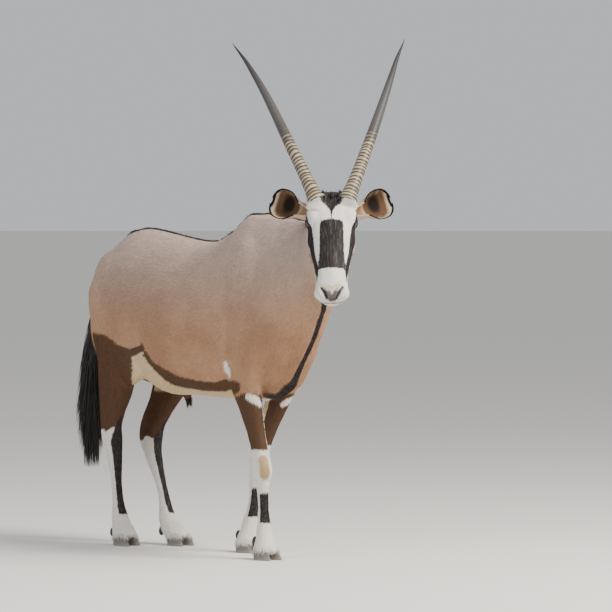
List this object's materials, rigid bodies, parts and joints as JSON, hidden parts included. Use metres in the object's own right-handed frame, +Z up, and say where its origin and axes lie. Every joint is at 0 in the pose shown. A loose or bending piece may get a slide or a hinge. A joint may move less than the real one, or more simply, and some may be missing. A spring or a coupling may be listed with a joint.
{
  "type": "gemsbok model",
  "caption": "Life-size gemsbok standing still with its head turned to its right, long straight ringed horns, dark and white face and a black tail tuft.",
  "frame": {"origin": "on the floor under the middle of the whole animal's length and breadth", "axes": "+X to the front of the animal, +Y to its left, +Z up, the way it stands"},
  "size_m": [1.7002, 0.7198, 1.8325],
  "materials": {
    "coat": "short grey-fawn hair lying flat",
    "leg_coat": "short dark brown hair, white lower down",
    "face_coat": "short white hair with black bands",
    "dark_hair": "long black hair in locks",
    "horn": "horn, ringed low down and smooth above",
    "hoof": "worn grey horn",
    "eye": "wet and glossy"
  },
  "bodies": {
    "root": {"ear_left": "face_coat", "ear_right": "face_coat", "eye_left": "eye", "eye_right": "eye", "foreleg_left_claw_left": "hoof", "foreleg_left_claw_right": "hoof", "foreleg_left_dewclaw_left": "hoof", "foreleg_left_dewclaw_right": "hoof", "foreleg_left_lower": "leg_coat", "foreleg_left_upper": "leg_coat", "foreleg_right_claw_left": "hoof", "foreleg_right_claw_right": "hoof", "foreleg_right_dewclaw_left": "hoof", "foreleg_right_dewclaw_right": "hoof", "foreleg_right_lower": "leg_coat", "foreleg_right_upper": "leg_coat", "head": "face_coat", "hindleg_left_claw_left": "hoof", "hindleg_left_claw_right": "hoof", "hindleg_left_dewclaw_left": "hoof", "hindleg_left_dewclaw_right": "hoof", "hindleg_left_lower": "leg_coat", "hindleg_left_upper": "leg_coat", "hindleg_right_claw_left": "hoof", "hindleg_right_claw_right": "hoof", "hindleg_right_dewclaw_left": "hoof", "hindleg_right_dewclaw_right": "hoof", "hindleg_right_lower": "leg_coat", "hindleg_right_upper": "leg_coat", "horn_left": "horn", "horn_right": "horn", "neck": "coat", "sheath": "coat", "tail": "coat", "tail_tuft": "dark_hair", "torso": "coat"}
  },
  "joints": []
}
